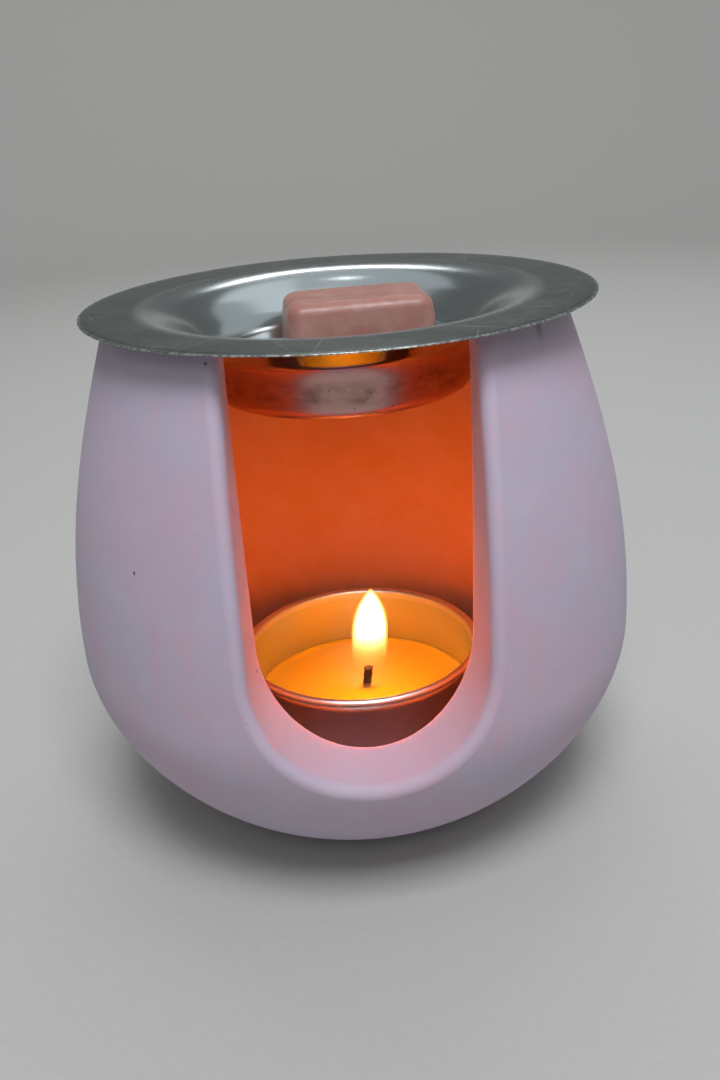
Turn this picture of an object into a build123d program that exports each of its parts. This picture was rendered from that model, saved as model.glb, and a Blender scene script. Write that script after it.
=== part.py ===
from build123d import *
import os
from math import atan2, cos, degrees, radians, sin, tan

# Wax warmer pot, in millimetres.
# Origin: the middle of the flat base, on the surface that the pot stands on.
# +Z is up and the front opening faces -Y.

# ---------- driving dimensions ----------

# pot body, a one-piece casting with a barrel-shaped outside
pot_height = 77.2
base_radius = 17.5
belly_radius = 42.0
belly_height = 29.2
rim_radius = 31.9
rim_lean = 18.8             # degrees that the outer wall leans inwards where it meets the rim
base_pull = 7.4             # how far the underside runs out level before it turns up
belly_pull_down = 14.6      # how far the wall keeps upright below the belly
belly_pull_up = 20.2        # and above it
rim_pull = 13.3             # how far the wall keeps its lean below the rim
rim_round = 1.0

# chamber inside the pot, a softer barrel with a flat floor
floor_height = 6.4
floor_radius = 21.0
chamber_radius = 31.8
chamber_height = 24.0       # height of the chamber's widest ring
mouth_radius = 27.4
mouth_lean = 12.0           # degrees that the chamber wall leans inwards at the mouth
floor_pull = 7.0
chamber_pull_down = 11.0
chamber_pull_up = 22.0
mouth_pull = 12.0
mouth_chamfer = 1.8

# U-shaped front opening, sized on an upright plane just outside the chamber wall
opening_plane = 31.0        # distance of that plane in front of the axis
opening_low_half = 14.6     # half width where the round bottom meets the straight sides
opening_top_half = 15.7     # half width at the rim
opening_bottom = 23.3
opening_draft = 4.5         # degrees that the opening widens towards the outside
opening_lean = 0.6          # degrees that it leans to the right about the middle of the base
opening_round = 1.3         # rounding of its outer edge
cutter_start = 5.0          # the cutter starts this far in front of the axis

# wax dish, pressed from one sheet
sheet = 0.5
rim_gap = 0.05              # the loose dish's clearance over the rim
dish_offset = 0.7           # it lies a little right of the pot's axis
flange_radius = 36.0
lip_radius = 28.8           # where the flat flange starts to turn down
lip_bend = 9.8
shoulder_slope = 46.0       # degrees of the straight shoulder between the lip and the well
knee_bend = 4.0             # bend between the shoulder and the well's wall
well_radius = 18.9
well_draft = 1.5            # degrees
well_floor_bend = 1.8
well_depth = 12.65          # from the flange's underside to the well's underside

# wax melt, a moulded block that lies in the dish
melt_top = (20.4, 13.4)
melt_foot = (22.0, 15.0)
melt_height = 12.85
melt_gap = 0.05             # the loose block's clearance over the dish's floor
melt_centre = (3.2, -1.2)
melt_turn = 4.0             # degrees
melt_corner_round = 2.6
melt_top_round = 1.9
melt_foot_round = 0.6

# tealight, a foil cup with a rolled rim
tealight_centre = (0.6, -1.1)
foil = 0.3
cup_gap = 0.05              # the loose cup's clearance over the chamber floor
cup_foot_radius = 17.7
cup_wall_radius = 18.1
cup_foot_round = 1.0
bead_radius = 0.6
bead_height = 22.4          # height of the rolled rim's centre
wax_level = 13.3
wax_clearance = 0.05

# wick, and the stamped tab that holds its foot
wick_foot = (1.05, -0.4)
wick_radius = 0.68
wick_lean = 0.6             # how far the tip leans to the right
wick_bend_height = 14.0
wick_bend = 4.0             # radius of the bend where it starts to lean
wick_tip_height = 17.5
tab_radius = 6.25
tab_thickness = 0.3
tab_neck_radius = 1.3
tab_neck_height = 3.0
tab_bore_radius = 0.73

# ---------- heights that follow ----------

flange_under = pot_height + rim_gap
well_under = flange_under - well_depth
well_floor = well_under + sheet
cup_under = floor_height + cup_gap
cup_floor = cup_under + foil
tab_under = cup_floor + wax_clearance


def barrel(foot, belly, rim, lean, pulls):
    """A solid barrel: a flat foot, and a wall that swells to the belly and leans in to the rim."""
    foot_pull, down, up, rim_reach = pulls
    rim_handle = (rim[0] + rim_reach * sin(radians(lean)), rim[1] - rim_reach * cos(radians(lean)))
    lower = Bezier(foot, (foot[0] + foot_pull, foot[1]), (belly[0], belly[1] - down), belly)
    upper = Bezier(belly, (belly[0], belly[1] + up), rim_handle, rim)
    inside = Polyline(rim, (0, rim[1]), (0, foot[1]), foot)
    section = make_face(Plane.XZ * Curve([lower, upper, inside]))
    return revolve(section, Axis.Z)


def front_opening():
    """The U-shaped cutter, which starts inside the chamber and widens towards the outside."""
    narrowing = (opening_plane - cutter_start) * tan(radians(opening_draft))
    arc_height = opening_bottom + opening_low_half
    half = opening_low_half - narrowing
    splay = degrees(atan2(opening_top_half - opening_low_half, pot_height - arc_height))
    arc = CenterArc((0, arc_height), half, 180 + splay, 180 - 2 * splay)
    top = 2 * pot_height
    top_half = (arc @ 1).X + (top - arc_height) * tan(radians(splay))
    sides = Polyline(arc @ 1, (top_half, top), (-top_half, top), arc @ 0)
    outline = make_face(Plane.XZ.offset(cutter_start) * Curve([arc, sides]))
    cutter = extrude(outline, amount=belly_radius, taper=-opening_draft)
    return Rot(0, opening_lean, 0) * cutter


def make_pot_body():
    outside = barrel((base_radius, 0), (belly_radius, belly_height), (rim_radius, pot_height),
                     rim_lean, (base_pull, belly_pull_down, belly_pull_up, rim_pull))
    chamber = barrel((floor_radius, floor_height), (chamber_radius, chamber_height),
                     (mouth_radius, pot_height), mouth_lean,
                     (floor_pull, chamber_pull_down, chamber_pull_up, mouth_pull))
    flare = Cone(mouth_radius, mouth_radius + 2 * mouth_chamfer, 2 * mouth_chamfer)
    closed_pot = outside - chamber - Pos(0, 0, pot_height) * flare
    cutter = front_opening()
    pot = closed_pot - cutter

    def on_outside(edge):
        middle = edge.position_at(0.5)
        return Vector(middle.X, middle.Y).length > chamber_radius + opening_round

    pot = fillet(new_edges(closed_pot, cutter, combined=pot).filter_by(on_outside), opening_round)
    rim = pot.edges().filter_by(GeomType.CIRCLE).sort_by(Axis.Z)[-2:].sort_by(SortBy.RADIUS)[-1]
    return fillet(rim, rim_round)


def arc_reach(bend, heading, turned_heading):
    """How far an arc runs sideways and up while its heading turns, in degrees above level."""
    side = bend * abs(sin(radians(heading)) - sin(radians(turned_heading)))
    rise = bend * abs(cos(radians(heading)) - cos(radians(turned_heading)))
    return side, rise


def make_wax_dish():
    """The sheet's underside from the axis out to the flange's edge, thickened and turned."""
    wall_heading = 90 - well_draft
    knee = arc_reach(knee_bend, wall_heading, shoulder_slope)
    lip = arc_reach(lip_bend, shoulder_slope, 0)
    shoulder_run = lip_radius - well_radius - knee[0] - lip[0]
    shoulder_rise = shoulder_run * tan(radians(shoulder_slope))
    wall_top = flange_under - knee[1] - lip[1] - shoulder_rise
    foot_bend = arc_reach(well_floor_bend, 0, wall_heading)
    wall_rise = wall_top - well_under - foot_bend[1]
    floor_edge = well_radius - wall_rise * tan(radians(well_draft)) - foot_bend[0]

    floor = Line((0, well_under), (floor_edge, well_under))
    foot = JernArc(floor @ 1, floor % 1, well_floor_bend, wall_heading)
    wall = Line(foot @ 1, (well_radius, wall_top))
    knee_arc = JernArc(wall @ 1, wall % 1, knee_bend, shoulder_slope - wall_heading)
    shoulder = Line(knee_arc @ 1, knee_arc @ 1 + Vector(shoulder_run, shoulder_rise))
    lip_arc = JernArc(shoulder @ 1, shoulder % 1, lip_bend, -shoulder_slope)
    flange = Line(lip_arc @ 1, (flange_radius, flange_under))
    underside = Wire([floor, foot, wall, knee_arc, shoulder, lip_arc, flange])
    section = make_face(offset(underside, amount=sheet, side=Side.LEFT))
    return Pos(dish_offset, 0, 0) * revolve(Plane.XZ * section, Axis.Z)


def make_wax_melt_cube():
    foot = RectangleRounded(*melt_foot, melt_corner_round)
    top = RectangleRounded(*melt_top, melt_corner_round)
    block = loft([foot, Pos(0, 0, melt_height) * top])
    block = fillet(block.faces().sort_by(Axis.Z)[-1].edges(), melt_top_round)
    block = fillet(block.faces().sort_by(Axis.Z)[0].edges(), melt_foot_round)
    place = Pos(melt_centre[0], melt_centre[1], well_floor + melt_gap) * Rot(0, 0, melt_turn)
    return place * block


def cup_filling(inset, top):
    """A solid that lies the same distance inside the cup's outer skin all round, up to a height."""
    height = bead_height - cup_under
    bottom = cup_under + inset
    spread = (cup_wall_radius - cup_foot_radius) / height
    foot = (cup_foot_radius + spread * inset - inset, bottom)
    wall = (cup_foot_radius + spread * (top - cup_under) - inset, top)
    section = make_face(Polyline((0, bottom), foot, wall, (0, top), close=True))
    corner = section.vertices().sort_by(Axis.Y)[:2].sort_by(Axis.X)[-1]
    section = fillet(corner, cup_foot_round - inset)
    return revolve(Plane.XZ * section, Axis.Z)


def make_tealight_cup():
    skin = cup_filling(0, bead_height)
    hollow = cup_filling(foil, bead_height + 2 * bead_radius)
    bead = Pos(0, 0, bead_height) * Torus(cup_wall_radius - foil + bead_radius, bead_radius)
    return Pos(*tealight_centre, 0) * (skin - hollow + bead)


def make_tealight_wax():
    wax = Pos(*tealight_centre, 0) * cup_filling(foil + wax_clearance, wax_level)
    room = 2 * wax_clearance
    upright = (Align.CENTER, Align.CENTER, Align.MIN)
    tab_room = Cylinder(tab_radius + wax_clearance, tab_thickness + room, align=upright)
    neck_room = Cylinder(tab_neck_radius + wax_clearance, tab_neck_height + room, align=upright)
    wick_room = Cylinder(wick_radius + wax_clearance, wax_level, align=upright)
    return wax - Pos(*wick_foot, cup_floor) * (tab_room + neck_room + wick_room)


def make_wick():
    foot = (*wick_foot, tab_under + tab_thickness)
    bend = (*wick_foot, wick_bend_height)
    tip = (wick_foot[0] + wick_lean, wick_foot[1], wick_tip_height)
    path = FilletPolyline(foot, bend, tip, radius=wick_bend)
    return sweep(Plane(origin=foot, z_dir=(0, 0, 1)) * Circle(wick_radius), path)


def make_wick_sustainer():
    upright = (Align.CENTER, Align.CENTER, Align.MIN)
    tab = Cylinder(tab_radius, tab_thickness, align=upright)
    neck = Cylinder(tab_neck_radius, tab_neck_height, align=upright)
    bore = Cylinder(tab_bore_radius, tab_neck_height, align=upright)
    return Pos(*wick_foot, tab_under) * (tab + neck - Pos(0, 0, tab_thickness) * bore)


parts = {
    "pot_body": make_pot_body(),
    "wax_dish": make_wax_dish(),
    "wax_melt_cube": make_wax_melt_cube(),
    "tealight_cup": make_tealight_cup(),
    "tealight_wax": make_tealight_wax(),
    "wick": make_wick(),
    "wick_sustainer": make_wick_sustainer(),
}

os.makedirs("parts", exist_ok=True)
for name, shape in parts.items():
    export_step(shape, f"parts/{name}.step")
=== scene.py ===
from math import cos, exp, hypot, pi, radians, sin, sqrt, tan

import bmesh
import bpy
from mathutils import Matrix, Quaternion, Vector, noise


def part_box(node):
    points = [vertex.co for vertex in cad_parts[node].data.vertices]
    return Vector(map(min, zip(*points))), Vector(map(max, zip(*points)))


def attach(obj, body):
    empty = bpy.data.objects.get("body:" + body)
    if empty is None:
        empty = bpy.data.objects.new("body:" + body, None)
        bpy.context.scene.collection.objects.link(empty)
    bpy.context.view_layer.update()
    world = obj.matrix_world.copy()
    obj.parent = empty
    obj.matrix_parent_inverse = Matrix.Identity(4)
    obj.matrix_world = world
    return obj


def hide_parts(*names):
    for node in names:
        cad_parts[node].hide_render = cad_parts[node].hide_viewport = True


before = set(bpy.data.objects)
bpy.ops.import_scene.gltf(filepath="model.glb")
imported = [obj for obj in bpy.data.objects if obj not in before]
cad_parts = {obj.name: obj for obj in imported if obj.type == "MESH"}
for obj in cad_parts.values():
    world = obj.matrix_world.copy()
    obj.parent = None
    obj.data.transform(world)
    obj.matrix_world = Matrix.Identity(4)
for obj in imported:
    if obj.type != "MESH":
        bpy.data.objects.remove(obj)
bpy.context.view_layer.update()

# A wax warmer pot with its dish, wax melt and burning tealight. Everything is in metres, in the CAD frame:
# +Z is up, the front opening faces -Y, and the pot stands on z = 0.

mm = 0.001


# ---------- places, from the frame ----------

class Place:
    """A CAD node's box: its middle in plan, half its width, and its lowest and highest level."""

    def __init__(self, node):
        low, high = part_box(node)
        self.x = (low.x + high.x) / 2
        self.y = (low.y + high.y) / 2
        self.half = (high.x - low.x) / 2
        self.low = low.z
        self.top = high.z


pot = Place("pot_body")
dish = Place("wax_dish")
melt = Place("wax_melt_cube")
cup = Place("tealight_cup")
pool = Place("tealight_wax")
wick_low, wick_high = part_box("wick")


# ---------- nodes ----------

class Look:
    """A material's node tree, with short calls for the nodes that the looks here are made of."""

    def __init__(self, name):
        self.material = bpy.data.materials.new(name)
        self.material.use_nodes = True
        self.tree = self.material.node_tree
        self.shader = next(n for n in self.tree.nodes if n.type == "BSDF_PRINCIPLED")
        self.point = self.node("ShaderNodeTexCoord").outputs["Object"]

    def node(self, kind, **settings):
        made = self.tree.nodes.new(kind)
        for key, value in settings.items():
            setattr(made, key, value)
        return made

    def feed(self, socket, value):
        if isinstance(value, bpy.types.NodeSocket):
            self.tree.links.new(value, socket)
        else:
            socket.default_value = value

    def set(self, **values):
        """Sets the shader's sockets, named with _ for each space: plain numbers stay on the socket."""
        for key, value in values.items():
            self.feed(self.shader.inputs[key.replace("_", " ")], value)

    def math(self, operation, a, b=0.0, clamp=False):
        made = self.node("ShaderNodeMath", operation=operation, use_clamp=clamp)
        self.feed(made.inputs[0], a)
        self.feed(made.inputs[1], b)
        return made.outputs[0]

    def plus(self, first, *others):
        for other in others:
            first = self.math("ADD", first, other)
        return first

    def times(self, first, *others):
        for other in others:
            first = self.math("MULTIPLY", first, other)
        return first

    def less(self, a, b):
        return self.math("SUBTRACT", a, b)

    def scaled(self, vector, factors):
        made = self.node("ShaderNodeVectorMath", operation="MULTIPLY")
        self.feed(made.inputs[0], vector)
        made.inputs[1].default_value = factors
        return made.outputs[0]

    def turned(self, vector, axis, angle):
        made = self.node("ShaderNodeVectorRotate", rotation_type="AXIS_ANGLE")
        self.feed(made.inputs["Vector"], vector)
        made.inputs["Axis"].default_value = axis
        made.inputs["Angle"].default_value = radians(angle)
        return made.outputs[0]

    def from_axis(self, x, y):
        """The distance from an upright axis through x, y, and the angle round it."""
        moved = self.node("ShaderNodeVectorMath", operation="SUBTRACT")
        self.feed(moved.inputs[0], self.point)
        moved.inputs[1].default_value = (x, y, 0)
        x_away, y_away, _ = self.split(moved.outputs[0])
        square = self.plus(self.math("POWER", x_away, 2), self.math("POWER", y_away, 2))
        return self.math("SQRT", square), self.math("ARCTAN2", y_away, x_away)

    def split(self, vector):
        parts = self.node("ShaderNodeSeparateXYZ")
        self.feed(parts.inputs[0], vector)
        return parts.outputs

    def height(self):
        return self.split(self.point)[2]

    def facing(self, round_angle):
        """How far the surface faces away from the axis that the angle goes round, and how far it faces up."""
        normal = self.split(self.node("ShaderNodeNewGeometry").outputs["Normal"])
        side = self.times(normal[0], self.math("COSINE", round_angle))
        depth = self.times(normal[1], self.math("SINE", round_angle))
        return self.plus(side, depth), normal[2]

    def joined(self, x, y, z):
        made = self.node("ShaderNodeCombineXYZ")
        for socket, value in zip(made.inputs, (x, y, z)):
            self.feed(socket, value)
        return made.outputs[0]

    def noise(self, size, vector=None, detail=3.0, roughness=0.5):
        """Noise whose blobs are about size metres across."""
        made = self.node("ShaderNodeTexNoise")
        self.feed(made.inputs["Vector"], vector or self.point)
        made.inputs["Scale"].default_value = 1 / size
        made.inputs["Detail"].default_value = detail
        made.inputs["Roughness"].default_value = roughness
        return made.outputs[0]

    def spots(self, size, vector=None):
        """Distance, as a share of size, to the nearest of scattered points about size metres apart."""
        made = self.node("ShaderNodeTexVoronoi")
        self.feed(made.inputs["Vector"], vector or self.point)
        made.inputs["Scale"].default_value = 1 / size
        return made.outputs["Distance"]

    def between(self, value, low, high, to_low=0.0, to_high=1.0):
        made = self.node("ShaderNodeMapRange", interpolation_type="SMOOTHSTEP")
        for socket, number in zip(made.inputs[1:5], (low, high, to_low, to_high)):
            socket.default_value = number
        self.feed(made.inputs[0], value)
        return made.outputs[0]

    def mix(self, share, a, b):
        made = self.node("ShaderNodeMix", data_type="RGBA")
        self.feed(made.inputs[0], share)
        self.feed(made.inputs[6], (*a, 1) if isinstance(a, tuple) else a)
        self.feed(made.inputs[7], (*b, 1) if isinstance(b, tuple) else b)
        return made.outputs[2]

    def bump(self, height, depth, normal=None):
        """A bump whose height from 0 to 1 is depth metres."""
        made = self.node("ShaderNodeBump")
        made.inputs["Distance"].default_value = depth
        self.feed(made.inputs["Height"], height)
        if normal:
            self.feed(made.inputs["Normal"], normal)
        return made.outputs[0]


# ---------- materials ----------

def cast_stone():
    """Chalky lilac casting: pink clouds, faint streaks, fine grain, dark pin holes, and painted warm shade on
    the inside.
    """
    look = Look("cast_stone")
    cloud = look.noise(16 * mm, detail=4.0, roughness=0.6)
    streak = look.noise(2.2 * mm, look.scaled(look.point, (1, 1, 0.14)), detail=4.0, roughness=0.65)
    smear = look.noise(6 * mm, look.scaled(look.point, (0.6, 0.6, 1)), detail=5.0, roughness=0.6)
    grain = look.noise(0.25 * mm, detail=2.0)
    hole = look.between(look.spots(9 * mm), 0.018, 0.034, 1.0, 0.0)
    speck = look.between(look.spots(2.6 * mm, look.scaled(look.point, (1, 1.1, 0.9))), 0.02, 0.06, 0.35, 0.0)
    marks = look.math("ADD", look.times(hole, 0.85), speck, clamp=True)
    # Painted warm shade inside the chamber: darker and warmer, a little uneven.
    inside_shade_mottle = look.between(look.noise(8 * mm, detail=4.0, roughness=0.6), 0.25, 0.75, 0.75, 1.0)

    lilac, rose = (0.475, 0.425, 0.545), (0.52, 0.405, 0.515)
    pink, chalk, dusty = (0.57, 0.37, 0.46), (0.57, 0.51, 0.58), (0.62, 0.56, 0.64)
    dark, painted_inside_shade = (0.12, 0.07, 0.08), (0.40, 0.28, 0.15)
    tint = look.mix(look.between(cloud, 0.36, 0.66), lilac, rose)
    tint = look.mix(look.times(look.between(streak, 0.48, 0.76), 0.62), tint, pink)
    tint = look.mix(look.times(look.between(smear, 0.52, 0.74), 0.25), tint, chalk)
    tint = look.mix(look.times(grain, 0.14), tint, dusty)
    tint = look.mix(marks, tint, dark)
    # The chamber's inside is painted darker and warmer: painted warm shade.
    tint = look.mix(look.times(inside_pot(look), inside_shade_mottle), tint, painted_inside_shade)

    swell = look.bump(look.noise(9 * mm, detail=2.0), 0.10 * mm)
    dragged = look.bump(smear, 0.05 * mm, swell)
    fine = look.bump(grain, 0.016 * mm, dragged)
    pitted = look.bump(look.less(1.0, hole), 0.12 * mm, fine)
    dry = look.between(look.noise(5 * mm), 0.3, 0.7, 0.66, 0.82)
    look.set(Base_Color=tint, Roughness=dry, Normal=pitted, Subsurface_Weight=0.42,
             Subsurface_Radius=(1.0, 0.40, 0.25), Subsurface_Scale=3.0 * mm, Specular_IOR_Level=0.40)
    return look.material


def inside_pot(look):
    """Where the painted warm shade inside goes: 1 on the chamber's wall and floor, and fading out at the rim
    and behind the opening's sill.
    """
    away, round_angle = look.from_axis(pot.x, pot.y)
    outward, upward = look.facing(round_angle)
    near = look.between(away, 31.0 * mm, 33.0 * mm, 1.0, 0.0)
    turned_in = look.between(look.less(outward, upward), -0.6, 0.2, 1.0, 0.0)
    behind_sill = look.between(look.split(look.point)[1], pot.y - 27 * mm, pot.y - 18 * mm, 0.2, 1.0)
    below_rim = look.between(look.height(), pot.top - 4 * mm, pot.top - 1.5 * mm, 1.0, 0.0)
    return look.times(near, turned_in, behind_sill, below_rim)


def scratched(look):
    """Fine straight scratches that run in several directions."""
    lines = 0.0
    for angle, spread in ((12, 0.05), (40, 0.05), (68, 0.06), (95, 0.05), (118, 0.045), (160, 0.055)):
        along = look.scaled(look.turned(look.point, (0, 0, 1), angle), (1, 0.015, 1))
        line = look.between(look.noise(0.30 * mm, along, detail=1.0), 0.70, 0.70 + spread)
        lines = look.math("MAXIMUM", lines, line)
    return lines


def pressed_steel():
    """Bright pressed sheet: a scuffed, dusty flange whose edge is partly worn and partly a painted glint, an
    unscuffed bowl, and a darker underside with soot marks and a painted pink reflection on its well wall.
    """
    look = Look("pressed_steel")
    away, round_angle = look.from_axis(dish.x, dish.y)
    outward, upward = look.facing(round_angle)
    level = look.height()
    up_wall = look.less(level, dish.low)
    on_flange = look.between(away, 27.0 * mm, 29.5 * mm)
    on_edge = look.between(away, dish.half - 0.5 * mm, dish.half - 0.2 * mm)
    under = look.between(look.less(outward, upward), -0.2, 0.2)
    in_bowl = look.times(look.less(1.0, under), look.less(1.0, on_flange))
    on_wall = look.times(under, look.between(up_wall, 6.3 * mm, 7.7 * mm, 1.0, 0.0))

    scratches = look.times(scratched(look), on_flange)
    fleck = look.between(look.noise(0.5 * mm, detail=3.0, roughness=0.7), 0.58, 0.72)
    patch = look.between(look.noise(7 * mm, detail=4.0, roughness=0.6), 0.35, 0.68)
    dust = look.times(look.between(look.spots(0.9 * mm), 0.05, 0.14, 1.0, 0.0), patch)
    rubbed = look.times(on_edge, look.between(look.noise(0.45 * mm, detail=3.0), 0.42, 0.62))
    smoke = look.noise(3.2 * mm, look.scaled(look.point, (1, 1, 2.2)), detail=5.0, roughness=0.65)
    soot_low = look.between(up_wall, 1.0 * mm, 3.2 * mm)
    soot_high = look.between(up_wall, 4.0 * mm, 6.0 * mm, 1.0, 0.0)
    soot = look.times(on_wall, look.between(smoke, 0.38, 0.72), soot_low, soot_high)
    crumb = look.times(on_wall, look.between(look.spots(1.1 * mm), 0.06, 0.16, 0.7, 0.0))

    bright, darker_under, grey = (0.60, 0.64, 0.645), (0.27, 0.27, 0.30), (0.22, 0.24, 0.225)
    worn, bare_edge_and_glint, pale_dust = (0.60, 0.62, 0.60), (0.64, 0.66, 0.64), (0.75, 0.74, 0.70)
    painted_pink_reflection, sooty, burnt = (0.54, 0.32, 0.29), (0.22, 0.15, 0.11), (0.10, 0.05, 0.04)
    wear = look.math("MAXIMUM", look.times(scratches, 0.50), look.times(fleck, on_flange, 0.50))
    # The underside is darker than the bowl's top.
    tint = look.mix(on_flange, look.mix(under, bright, darker_under), grey)
    tint = look.mix(wear, tint, worn)
    tint = look.mix(look.times(dust, 0.85), tint, pale_dust)
    # The sheared edge is painted bright in patches: partly worn metal, partly a painted glint.
    tint = look.mix(rubbed, tint, bare_edge_and_glint)
    # The well wall is painted pink: a painted reflection of the pinkish surroundings.
    tint = look.mix(on_wall, tint, painted_pink_reflection)
    tint = look.mix(look.times(soot, 0.70), tint, sooty)
    tint = look.mix(crumb, tint, burnt)

    dull = look.times(on_flange, look.plus(look.times(patch, 0.12), 0.26))
    cloud = look.noise(1.2 * mm, detail=4.0)
    rough = look.plus(0.05, dull, look.times(cloud, 0.05), look.times(in_bowl, 0.12),
                      look.times(scratches, 0.10), look.times(on_wall, 0.25), look.times(soot, 0.15))
    rings = look.noise(0.35 * mm, look.joined(away, look.times(round_angle, 1.2 * mm), level), detail=2.0)
    pressed = look.bump(rings, 0.003 * mm)
    uneven = look.bump(look.noise(6 * mm, detail=1.0), 0.015 * mm, pressed)
    marks = look.bump(scratches, 0.006 * mm, uneven)
    nicks = look.bump(look.times(on_edge, look.noise(0.6 * mm, detail=2.0)), 0.14 * mm, marks)
    look.set(Base_Color=tint, Metallic=1.0, Roughness=rough, Normal=nicks)
    return look.material


def soft_wax():
    """Dusty pink scented wax: translucent, faintly mottled, with a greasy sheen."""
    look = Look("soft_wax")
    mottle = look.noise(3.5 * mm, detail=4.0, roughness=0.6)
    tint = look.mix(look.between(mottle, 0.35, 0.7), (0.325, 0.150, 0.120), (0.39, 0.205, 0.175))
    tint = look.mix(look.between(look.spots(1.5 * mm), 0.03, 0.09, 0.30, 0.0), tint, (0.22, 0.10, 0.09))
    sheen = look.between(look.noise(2.2 * mm, detail=3.0), 0.3, 0.7, 0.30, 0.44)
    waves = look.bump(look.noise(3.0 * mm, detail=2.0), 0.06 * mm)
    grain = look.bump(look.noise(0.3 * mm, detail=2.0), 0.006 * mm, waves)
    look.set(Base_Color=tint, Roughness=sheen, Normal=grain, Subsurface_Weight=0.30,
             Subsurface_Radius=(1.0, 0.5, 0.4), Subsurface_Scale=2.0 * mm, IOR=1.46)
    return look.material


def drawn_foil():
    """Thin drawn aluminium: faint draw lines, cloudy patches, shallow dents, painted shade towards its foot,
    a painted pink reflection on its outside and a painted highlight on its rolled rim.
    """
    look = Look("drawn_foil")
    _, round_angle = look.from_axis(cup.x, cup.y)
    outward, _ = look.facing(round_angle)
    level = look.height()
    drawn_out = look.joined(look.times(round_angle, cup.half), 0.0, look.times(level, 0.05))
    lines = look.noise(0.5 * mm, drawn_out, detail=2.0)
    cloud = look.noise(4 * mm, detail=3.0)
    on_rim = look.between(level, cup.top - 1.7 * mm, cup.top - 1.2 * mm)

    outside, cloudy, rim_highlight = (0.62, 0.53, 0.56), (0.80, 0.78, 0.72), (0.86, 0.85, 0.84)
    # The foil is painted darker towards the cup's foot and lighter towards its rim: painted shade.
    shade = look.between(level, cup.low + 2 * mm, cup.top - 2 * mm, 0.55, 0.72)
    tint = look.joined(look.times(shade, 0.88), shade, look.times(shade, 0.82))
    # The cup's outward faces are painted pink: a painted reflection of the lilac stone around it.
    tint = look.mix(look.between(outward, 0.2, 0.5), tint, outside)
    tint = look.mix(look.times(cloud, 0.3), tint, cloudy)
    # The rolled rim is painted brighter: a painted highlight.
    tint = look.mix(on_rim, tint, rim_highlight)

    rough = look.between(cloud, 0.3, 0.7, 0.29, 0.35)
    rough = look.plus(rough, look.times(lines, 0.05), look.times(on_rim, 0.04))
    dents = look.bump(look.noise(6 * mm, detail=1.0), 0.03 * mm)
    look.set(Base_Color=tint, Metallic=1.0, Roughness=rough, Normal=dents)
    return look.material


def molten_wax():
    """Melted paraffin, clear and shining on top and cloudy below."""
    look = Look("molten_wax")
    away, _ = look.from_axis(cup.x, cup.y)
    cloud = look.noise(6 * mm, detail=3.0)
    cooler = look.between(away, 0.55 * cup.half, 0.95 * cup.half)
    tint = look.mix(look.times(cooler, cloud), (0.46, 0.50, 0.035), (0.53, 0.58, 0.06))
    tint = look.mix(look.between(look.spots(4.5 * mm), 0.03, 0.07, 0.6, 0.0), tint, (0.20, 0.10, 0.04))
    ripple = look.bump(look.noise(5 * mm, detail=1.0), 0.02 * mm)
    look.set(Base_Color=tint, Roughness=look.between(cloud, 0.2, 0.8, 0.05, 0.14), Normal=ripple,
             Subsurface_Weight=0.5, Subsurface_Radius=(1.0, 0.6, 0.25), Subsurface_Scale=3.0 * mm, IOR=1.43)
    return look.material


def charred_cotton():
    """Braided cotton, black and crumbly where it has burnt."""
    look = Look("charred_cotton")
    level = look.height()
    burnt = look.between(level, pool.top + 0.2 * mm, pool.top + 1.6 * mm)
    crumb = look.noise(0.25 * mm, detail=3.0)
    raw = look.mix(crumb, (0.55, 0.42, 0.26), (0.38, 0.27, 0.16))
    char = look.mix(crumb, (0.012, 0.009, 0.008), (0.05, 0.03, 0.022))
    crust = look.bump(crumb, 0.06 * mm)
    look.set(Base_Color=look.mix(burnt, raw, char), Roughness=look.between(crumb, 0.2, 0.8, 0.75, 0.95),
             Normal=crust)
    return look.material


def stamped_tin():
    """Tinned steel of the wick's tab."""
    look = Look("stamped_tin")
    cloud = look.noise(1.5 * mm, detail=4.0)
    rubbed = look.bump(look.noise(0.3 * mm), 0.004 * mm)
    look.set(Base_Color=look.mix(cloud, (0.50, 0.50, 0.49), (0.62, 0.62, 0.60)), Metallic=1.0,
             Roughness=look.between(cloud, 0.3, 0.7, 0.28, 0.42), Normal=rubbed)
    return look.material


def flame_glow(colour, strength, cover, clear_to, full_from):
    """A flame's light: clear up to one height over its foot, then thicker and paler up to another."""
    look = Look("flame_glow")
    amber, faint = (1.0, 0.50, 0.06), 1.7
    lit = look.between(look.height(), flame_foot + clear_to, flame_foot + full_from)
    look.set(Base_Color=(0, 0, 0, 1), Roughness=1.0, Specular_IOR_Level=0.0,
             Emission_Color=look.mix(lit, amber, colour),
             Emission_Strength=look.plus(look.times(lit, strength - faint), faint),
             Alpha=look.times(lit, cover))
    return look.material


def pale_card():
    """The studio floor, pale and matt."""
    look = Look("pale_card")
    fibre = look.noise(1.2 * mm, detail=3.0)
    tint = look.mix(fibre, (0.44, 0.44, 0.425), (0.48, 0.48, 0.46))
    look.set(Base_Color=tint, Roughness=0.9, Normal=look.bump(fibre, 0.02 * mm))
    return look.material


# ---------- shapes ----------

def piece(name, work, material, body=None, replaces=()):
    """Turns a bmesh into an object, smooth, with its material, riding on its body."""
    bmesh.ops.recalc_face_normals(work, faces=work.faces)
    mesh = bpy.data.meshes.new(name)
    work.to_mesh(mesh)
    work.free()
    mesh.polygons.foreach_set("use_smooth", [True] * len(mesh.polygons))
    mesh.materials.append(material)
    made = bpy.data.objects.new(name, mesh)
    bpy.context.scene.collection.objects.link(made)
    if body:
        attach(made, body)
    if replaces:
        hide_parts(*replaces)
    return made


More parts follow.
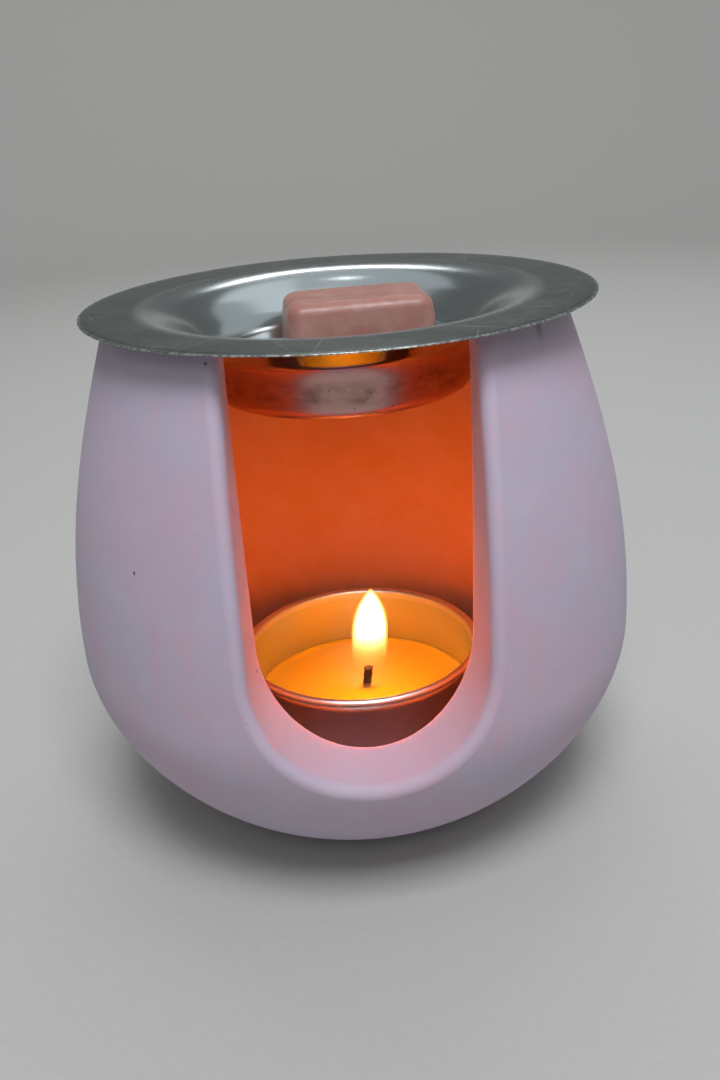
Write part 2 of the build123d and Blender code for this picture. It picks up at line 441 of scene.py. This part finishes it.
def drawn(start, strokes, step):
    """Points and headings along a line of straight runs, (length,), and bends, (radius, degrees)."""
    points = [(Vector(start), 0.0)]
    for stroke in strokes:
        here, heading = points[-1]
        if len(stroke) == 1:
            ahead = Vector((cos(radians(heading)), sin(radians(heading))))
            points.append((here + ahead * stroke[0], heading))
            continue
        radius, turn = stroke
        side = 1 if turn > 0 else -1
        centre = here + side * radius * Vector((-sin(radians(heading)), cos(radians(heading))))
        count = max(2, round(abs(turn) / step))
        for i in range(1, count + 1):
            now = heading + turn * i / count
            out = side * radius * Vector((sin(radians(now)), -cos(radians(now))))
            points.append((centre + out, now))
    return points


def beside(points, distance):
    """The drawn line moved sideways, to its left."""
    return [p + distance * Vector((-sin(radians(h)), cos(radians(h)))) for p, h in points]


def split_long(outline, longest):
    """The outline with its long runs divided evenly."""
    made = [outline[0]]
    for a, b in zip(outline, outline[1:]):
        count = max(1, round((b - a).length / longest))
        made += [a.lerp(b, i / count) for i in range(1, count + 1)]
    return made


def skin(rings):
    """A bmesh over rings of points that follow one another; a ring of one point closes an end."""
    work = bmesh.new()
    made = [[work.verts.new(point) for point in ring] for ring in rings]
    for below, above in zip(made, made[1:]):
        count = max(len(below), len(above))
        for i in range(count):
            j = (i + 1) % count
            if len(below) == 1:
                work.faces.new((below[0], above[i], above[j]))
            elif len(above) == 1:
                work.faces.new((below[j], below[i], above[0]))
            else:
                work.faces.new((below[i], below[j], above[j], above[i]))
    return work


def lathe(outline, x, y, count, shape=None):
    """A bmesh of an outline of (radius, height) turned about an upright axis; shape may move each point."""
    rings = []
    for radius, level in outline:
        turns = range(count) if radius > 1e-7 else range(1)
        ring = [Vector((radius * cos(2 * pi * i / count), radius * sin(2 * pi * i / count), level))
                for i in turns]
        rings.append([(shape(point) if shape else point) + Vector((x, y, 0)) for point in ring])
    return skin(rings)


def arc(x, y, radius, start, end, count):
    """Points round a circle in the outline's plane, from one angle in degrees to another."""
    angles = [radians(start + (end - start) * i / count) for i in range(count + 1)]
    return [Vector((x + radius * cos(a), y + radius * sin(a))) for a in angles]


# ---------- the dish ----------

sheet = 0.5 * mm
edge_sheet = 0.20 * mm              # the sheared edge is thinner
edge_taper = 1.5 * mm
lip_radius = 28.8 * mm
lip_bend = 9.8 * mm
shoulder_slope = 46.0
knee_bend = 4.0 * mm
well_radius = 18.9 * mm
wall_slope = 88.5
well_floor_bend = 1.8 * mm


def reach(bend, one_slope, other_slope):
    """How far an arc runs sideways and up between two slopes."""
    side = bend * abs(sin(radians(one_slope)) - sin(radians(other_slope)))
    rise = bend * abs(cos(radians(one_slope)) - cos(radians(other_slope)))
    return side, rise


def make_dish():
    """The pressed dish: sheet drawn from its middle out to the flange, with an uneven, nicked edge."""
    knee = reach(knee_bend, wall_slope, shoulder_slope)
    lip = reach(lip_bend, shoulder_slope, 0)
    foot = reach(well_floor_bend, 0, wall_slope)
    shoulder_run = lip_radius - well_radius - knee[0] - lip[0]
    shoulder_rise = shoulder_run * tan(radians(shoulder_slope))
    flange_under = dish.top - sheet
    wall_rise = flange_under - dish.low - knee[1] - lip[1] - shoulder_rise - foot[1]
    floor_edge = well_radius - wall_rise / tan(radians(wall_slope)) - foot[0]
    strokes = [(floor_edge,), (well_floor_bend, wall_slope), (wall_rise / sin(radians(wall_slope)),),
               (knee_bend, shoulder_slope - wall_slope), (hypot(shoulder_run, shoulder_rise),),
               (lip_bend, -shoulder_slope), (dish.half - edge_taper - lip_radius,)]
    line = drawn((0, dish.low), strokes, step=3.0)
    under = [p for p, _ in line]
    over = beside(line, sheet)
    burr = 0.05 * mm
    edge_under = dish.top - edge_sheet
    edge = [Vector((dish.half - burr, edge_under)), Vector((dish.half, edge_under + burr)),
            Vector((dish.half, dish.top - burr)), Vector((dish.half - burr, dish.top))]
    outline = split_long(under, 1.2 * mm) + edge + split_long(over[::-1], 1.2 * mm)

    def uneven(point):
        """Nicks in the flange's edge and a slight sag: never outwards or up."""
        away = point.xy.length
        nick = 0.0
        if away > dish.half - 0.4 * mm:
            chatter = noise.noise(Vector((point.x, point.y, 0)) / (0.7 * mm)) + 0.3
            nick = max(0.0, chatter) * 0.10 * mm
        out = point.xy.normalized() * (away - nick)
        sag = noise.noise(Vector((out.x, out.y, 0)) * 55 + Vector((3.1, 0.7, 5.0)))
        drop = 0.035 * mm * (sag - 0.6) * min(1.0, away / dish.half)
        return Vector((out.x, out.y, point.z + drop))

    return piece("dish", lathe(outline, dish.x, dish.y, 384, uneven), pressed_steel(),
                 "dish", ["wax_dish"])


# ---------- the wax melt ----------

def rounded_ring(long_half, short_half, corner, level, straight=10, turn=8):
    """Points round a rectangle with round corners, the same number whatever its size."""
    ring = []
    corners = ((1, 1, 0), (-1, 1, 90), (-1, -1, 180), (1, -1, 270))
    for i, (sx, sy, first) in enumerate(corners):
        middle = Vector((sx * (long_half - corner), sy * (short_half - corner), level))
        for k in range(turn + 1):
            angle = radians(first + 90 * k / turn)
            ring.append(middle + corner * Vector((cos(angle), sin(angle), 0)))
        nx, ny, after = corners[(i + 1) % 4]
        ahead = Vector((nx * (long_half - corner), ny * (short_half - corner), level))
        ahead += corner * Vector((cos(radians(after)), sin(radians(after)), 0))
        ring += [ring[-1].lerp(ahead, k / straight) for k in range(1, straight)]
    return ring


def make_melt():
    """A moulded block with drafted sides, soft corners and a slightly sunken, hand-poured top."""
    turn = Matrix.Rotation(radians(4.0), 3, "Z")
    long_half, short_half = 11.0 * mm, 7.5 * mm
    sunken = 0.22 * mm
    corner, top_round, foot_round = 2.6 * mm, 1.9 * mm, 0.6 * mm
    height = melt.top - melt.low
    draft = 0.8 * mm / height
    outline = arc(foot_round, foot_round, foot_round, 270, 180, 4)
    outline += [Vector((draft * level, level)) for level in
                [foot_round + (height - top_round - foot_round) * k / 10 for k in range(1, 10)]]
    outline += arc(draft * height + top_round, height - top_round, top_round, 180, 90, 8)
    edge = outline[-1].x
    for k in range(1, 9):
        inward = edge + (short_half - 0.4 * mm - edge) * k / 8
        outline.append(Vector((inward, height - sunken * sin(pi / 2 * k / 8) ** 2)))
    rings = [[Vector((0, 0, 0))]]
    for inset, level in outline:
        tighter = max(corner - 0.6 * inset, 0.35 * mm)
        ring = rounded_ring(long_half - inset, short_half - inset, tighter, level)
        rings.append([turn @ soft(point, height) for point in ring])
    rings.append([turn @ Vector((0, 0, height - sunken))])
    work = skin(rings)
    bmesh.ops.translate(work, verts=work.verts, vec=(melt.x, melt.y, melt.low))
    return piece("wax_melt", work, soft_wax(), "melt", ["wax_melt_cube"])


def soft(point, height):
    """The melt's sides bow in a little, and no face of it is quite flat."""
    level = point.z / height
    wave = noise.noise(point / (5 * mm) + Vector((4.2, 1.7, 9.3)))
    inward = (0.10 * sin(pi * level) + 0.06 * (wave + 1)) * mm
    side = point.xy.normalized() * inward if point.xy.length > inward else Vector((0, 0))
    return Vector((point.x - side.x, point.y - side.y, point.z - 0.05 * mm * (wave + 1) * level))


# ---------- the tealight ----------

foil = 0.3 * mm
bead = 0.6 * mm
cup_foot = 17.7 * mm
cup_wall = 18.1 * mm


def dented(point):
    """Dents in the cup's side and in the wax against it: only inwards."""
    wave = noise.noise(point / (6 * mm) + Vector((8.0, 2.0, 5.0)))
    share = 1 - 0.0028 * (1.0 - wave)
    return Vector((point.x * share, point.y * share, point.z))


def make_cup():
    """The foil cup, with a rolled rim and slightly dented sides."""
    bead_level = cup.top - bead
    bead_middle = cup_wall - foil + bead
    foot_bend = 1.0 * mm
    outside = [Vector((0, cup.low)), Vector((cup_foot - foot_bend, cup.low))]
    outside += arc(cup_foot - foot_bend, cup.low + foot_bend, foot_bend, 270, 360, 6)
    meet = Vector((cup_wall, bead_level - bead * sin(radians(60))))
    roll = arc(bead_middle, bead_level, bead, 240, 540, 24)
    inside = [Vector((cup_foot - foil, cup.low + foot_bend))]
    inside += arc(cup_foot - foot_bend, cup.low + foot_bend, foot_bend - foil, 360, 270, 6)
    inside += [Vector((0, cup.low + foil))]
    outline = split_long(outside + [meet] + roll + inside, 1.5 * mm)

    return piece("tealight_foil_cup", lathe(outline, cup.x, cup.y, 192, dented), drawn_foil(),
                 "tealight", ["tealight_cup"])


def make_pool():
    """The melted wax: it climbs a little way up the cup's wall and the wick."""
    gap = 0.03 * mm
    rise = (cup_wall - cup_foot) / (cup.top - bead - cup.low)
    edge = cup_foot - foil + rise * (pool.top - cup.low) - gap
    floor = cup.low + foil + gap
    foot_bend = 0.8 * mm
    flat = cup_foot - 1.2 * mm
    outline = [Vector((0, floor)), Vector((flat, floor))]
    outline += arc(flat, floor + foot_bend, foot_bend, 270, 360, 4)
    climb = 0.55 * mm
    fall = 3.2                          # how fast the climb dies away, over reach_in
    reach_in = 1.5 * mm
    outline += [Vector((edge, pool.top + climb))]
    outline += [Vector((edge - reach_in * k / 6, pool.top + climb * exp(-fall * k / 6))) for k in range(1, 7)]
    outline += [Vector((0, pool.top + climb * exp(-fall)))]
    outline = split_long(outline, 0.45 * mm)
    wick_x = wick_foot.x - cup.x
    wick_y = wick_foot.y - cup.y

    def climbing(point):
        if point.z < pool.top - 1 * mm:
            return dented(point)
        away = max(0.0, hypot(point.x - wick_x, point.y - wick_y) - wick_radius)
        return dented(point) + Vector((0, 0, 0.45 * mm * exp(-away / (0.55 * mm))))

    return piece("melted_wax", lathe(outline, cup.x, cup.y, 128, climbing), molten_wax(),
                 "tealight", ["tealight_wax"])


wick_radius = (wick_high.y - wick_low.y) / 2
wick_foot = Vector((wick_low.x + wick_radius, (wick_low.y + wick_high.y) / 2, wick_low.z))
wick_lean = (wick_high.x - wick_low.x) - 2 * wick_radius


def make_wick():
    """The braided wick: raw in the wax, and a bent, ragged black stub above it."""
    count, levels = 48, 120
    crown = 0.35 * mm
    pitch = 0.42 * mm
    burnt_from = pool.top + 0.3 * mm
    rings = [[wick_foot]]
    for k in range(levels + 1):
        share = k / levels
        level = wick_low.z + (wick_high.z - crown - wick_low.z) * share
        above = max(0.0, level - burnt_from) / (wick_high.z - burnt_from)
        middle = wick_foot.xy + Vector((wick_lean * above, 0))
        ring = []
        for i in range(count):
            angle = 2 * pi * i / count
            braid = cos(3 * angle + level / pitch) * cos(3 * angle - level / pitch)
            ragged = noise.noise(Vector((2 * cos(angle), 2 * sin(angle), level / (0.45 * mm)))) * above
            thick = wick_radius * (0.92 + 0.10 * braid + 0.10 * above + 0.22 * ragged)
            peak = crown * max(0.0, cos(2 * angle)) ** 2 * above ** 6
            ring.append(Vector((middle.x + thick * cos(angle), middle.y + thick * sin(angle), level + peak)))
        rings.append(ring)
    last = sum(rings[-1], Vector()) / count
    rings.append([last.lerp(point, 0.45) - Vector((0, 0, 0.25 * mm)) for point in rings[-1]])
    rings.append([last - Vector((0, 0, crown))])
    return piece("charred_wick", skin(rings), charred_cotton(), "tealight", ["wick"])


# ---------- the flame ----------

flame_foot = wick_high.z - 0.1 * mm
flame_tip = 31.5 * mm
flame_half = 2.9 * mm


def flame_middle(level):
    """The flame's middle at a level: it leans a little to the right as it rises."""
    share = (level - flame_foot) / (flame_tip - flame_foot)
    return Vector((1.7 * mm + 1.0 * mm * share, wick_foot.y))


def flame_width(share):
    """The flame's width at a share of its height, as a share of its greatest width."""
    widest = 0.42
    if share < widest:
        return 0.90 + 0.10 * sin(pi / 2 * share / widest)
    above = (share - widest) / (1 - widest)
    return cos(pi / 2 * above ** 1.25) ** 0.85


def flame_shell(name, inset, start, hollow, material):
    """A pointed shell whose lower edge, at start, arches up at the front and back by its hollow."""
    count, length = 64, flame_tip - flame_foot
    foot = flame_foot + start
    angles = [2 * pi * i / count for i in range(count)]

    def ring(share, radius_at, level_at):
        made = []
        for angle in angles:
            level = level_at(share, foot + hollow * abs(sin(angle)))
            radius = radius_at(share, level)
            middle = flame_middle(level)
            made.append(Vector((middle.x + radius * cos(angle), middle.y + radius * sin(angle), level)))
        return made

    def outside(share, level):
        return max(0.05 * mm, flame_half * flame_width((level - flame_foot) / length) - inset)

    def dome(share, level):
        return (outside(0, foot) - 0.2 * mm) * sqrt(1 - share ** 2)

    top = flame_tip - 1.6 * inset
    apex = foot + hollow + 0.8 * mm
    rings = [ring(k / 12, dome, lambda share, rim: rim + (apex - rim) * share) for k in range(11, -1, -1)]
    rings += [ring(k / 40, outside, lambda share, rim: rim + (top - rim) * share) for k in range(40)]
    low, high = flame_middle(apex), flame_middle(top)
    rings = [[Vector((low.x, low.y, apex))]] + rings + [[Vector((high.x, high.y, top))]]
    made = piece(name, skin(rings), material, "tealight")
    made.visible_shadow = False
    made.visible_diffuse = False


def make_flame():
    """A burning flame: a white core in two thinner layers that reach lower, the outer one an amber veil."""
    white = flame_glow((1.0, 0.88, 0.58), strength=9.0, cover=1.0, clear_to=3.0 * mm, full_from=7.6 * mm)
    flame_shell("flame_core", inset=0.50 * mm, start=2.6 * mm, hollow=0.9 * mm, material=white)
    yellow = flame_glow((1.0, 0.76, 0.30), strength=2.4, cover=0.60, clear_to=1.3 * mm, full_from=7.0 * mm)
    flame_shell("flame_body", inset=0.26 * mm, start=0.6 * mm, hollow=1.2 * mm, material=yellow)
    amber = flame_glow((1.0, 0.56, 0.10), strength=1.7, cover=0.40, clear_to=0.2 * mm, full_from=5.8 * mm)
    flame_shell("flame_veil", inset=0.0, start=0.0, hollow=0.6 * mm, material=amber)


# ---------- camera, lights and floor ----------

def make_camera():
    """The photographer's view: close, from a little above, with the camera slightly rolled."""
    place = Vector((-3.573, -151.064, 104.832)) * mm
    target = Vector((1.567, 0, 39.74)) * mm
    data = bpy.data.cameras.new("camera")
    data.sensor_width = 36.0
    data.lens = 35.36
    data.clip_start = 5 * mm
    data.clip_end = 20.0
    camera = bpy.data.objects.new("camera", data)
    camera.location = place
    camera.rotation_mode = "QUATERNION"
    aim = (target - place).to_track_quat("-Z", "Y")
    camera.rotation_quaternion = aim @ Quaternion((0, 0, 1), radians(-3.83))
    bpy.context.scene.collection.objects.link(camera)
    bpy.context.scene.camera = camera


def soft_box(name, place, target, wide, high, power, colour=(1, 1, 1)):
    data = bpy.data.lights.new(name, "AREA")
    data.shape = "RECTANGLE"
    data.size = wide
    data.size_y = high
    data.energy = power
    data.color = colour
    lamp = bpy.data.objects.new(name, data)
    lamp.location = place
    lamp.rotation_mode = "QUATERNION"
    lamp.rotation_quaternion = (Vector(target) - Vector(place)).to_track_quat("-Z", "Y")
    bpy.context.scene.collection.objects.link(lamp)
    return lamp


def make_studio():
    """A round pale floor that curves up at its edge, and soft boxes over the pot."""
    flat, curve = 0.6, 0.25
    outline = [Vector((flat * k / 6, 0)) for k in range(7)] + arc(flat, curve, curve, 270, 360, 10)[1:]
    floor = piece("floor", lathe(outline, 0, 0, 96), pale_card())
    soft_box("key", (0.03, -0.26, 0.54), (0, 0, 0.06), 0.24, 0.20, 2.30, (0.96, 0.96, 1.0))
    soft_box("rim_front", (-0.05, -0.62, 0.50), (0, 0, 0.02), 0.40, 0.30, 0.8)
    soft_box("bowl_window", (0.02, 0.36, 0.40), (0, 0, 0.075), 0.09, 0.06, 0.075, (0.95, 0.98, 1.0))
    soft_box("bowl_glow", (0.0, 0.14, 0.47), (0, 0.14, 0), 0.56, 0.38, 0.24, (0.86, 0.95, 1.0))
    soft_box("side_glow", (0.34, 0.10, 0.40), (0, 0, 0.07), 0.50, 0.60, 0.30, (0.86, 0.95, 1.0))
    soft_box("bowl_spark", (-0.01, 0.11, 0.46), (0, 0, 0.075), 0.035, 0.03, 0.012, (0.90, 0.96, 1.0))
    soft_box("backdrop_light", (0, 0.25, 0.60), (0, 0.75, 0.05), 0.5, 0.1, 1.9).visible_glossy = False
    world = bpy.data.worlds.new("studio")
    world.use_nodes = True
    air = world.node_tree.nodes["Background"]
    air.inputs["Color"].default_value = (0.80, 0.84, 0.84, 1)
    air.inputs["Strength"].default_value = 0.16
    bpy.context.scene.world = world
    bpy.context.scene.view_settings.view_transform = "Standard"


def candle_light(name, above, power, radius):
    """A small round lamp in the flame, above its foot, that moves with the tealight."""
    data = bpy.data.lights.new(name, "POINT")
    data.energy = power
    data.color = (1.0, 0.135, 0.002)
    data.shadow_soft_size = radius
    lamp = bpy.data.objects.new(name, data)
    level = flame_foot + above
    lamp.location = (*flame_middle(level), level)
    lamp.visible_glossy = False
    bpy.context.scene.collection.objects.link(lamp)
    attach(lamp, "tealight")


def make_candle_lights():
    """The flame's own light: from its lower and upper part all round, and more of it towards the front."""
    candle_light("flame_light_low", 6.5 * mm, 0.008, 2.0 * mm)
    candle_light("flame_light_high", 12.3 * mm, 0.036, 3.5 * mm)
    level = flame_foot + 9 * mm
    place = (*flame_middle(level), level)
    ahead = (place[0], pot.y - pot.half, level)
    front = soft_box("flame_light_front", place, ahead, 4 * mm, 6 * mm, 0.012, (1.0, 0.20, 0.03))
    front.visible_glossy = False
    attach(front, "tealight")


def dress(node, material):
    """Gives a CAD node that stays in view its material."""
    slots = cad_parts[node].data.materials
    slots.clear()
    slots.append(material)


make_camera()
make_studio()
dress("pot_body", cast_stone())
dress("wick_sustainer", stamped_tin())
make_dish()
make_melt()
make_cup()
make_pool()
make_wick()
make_flame()
make_candle_lights()
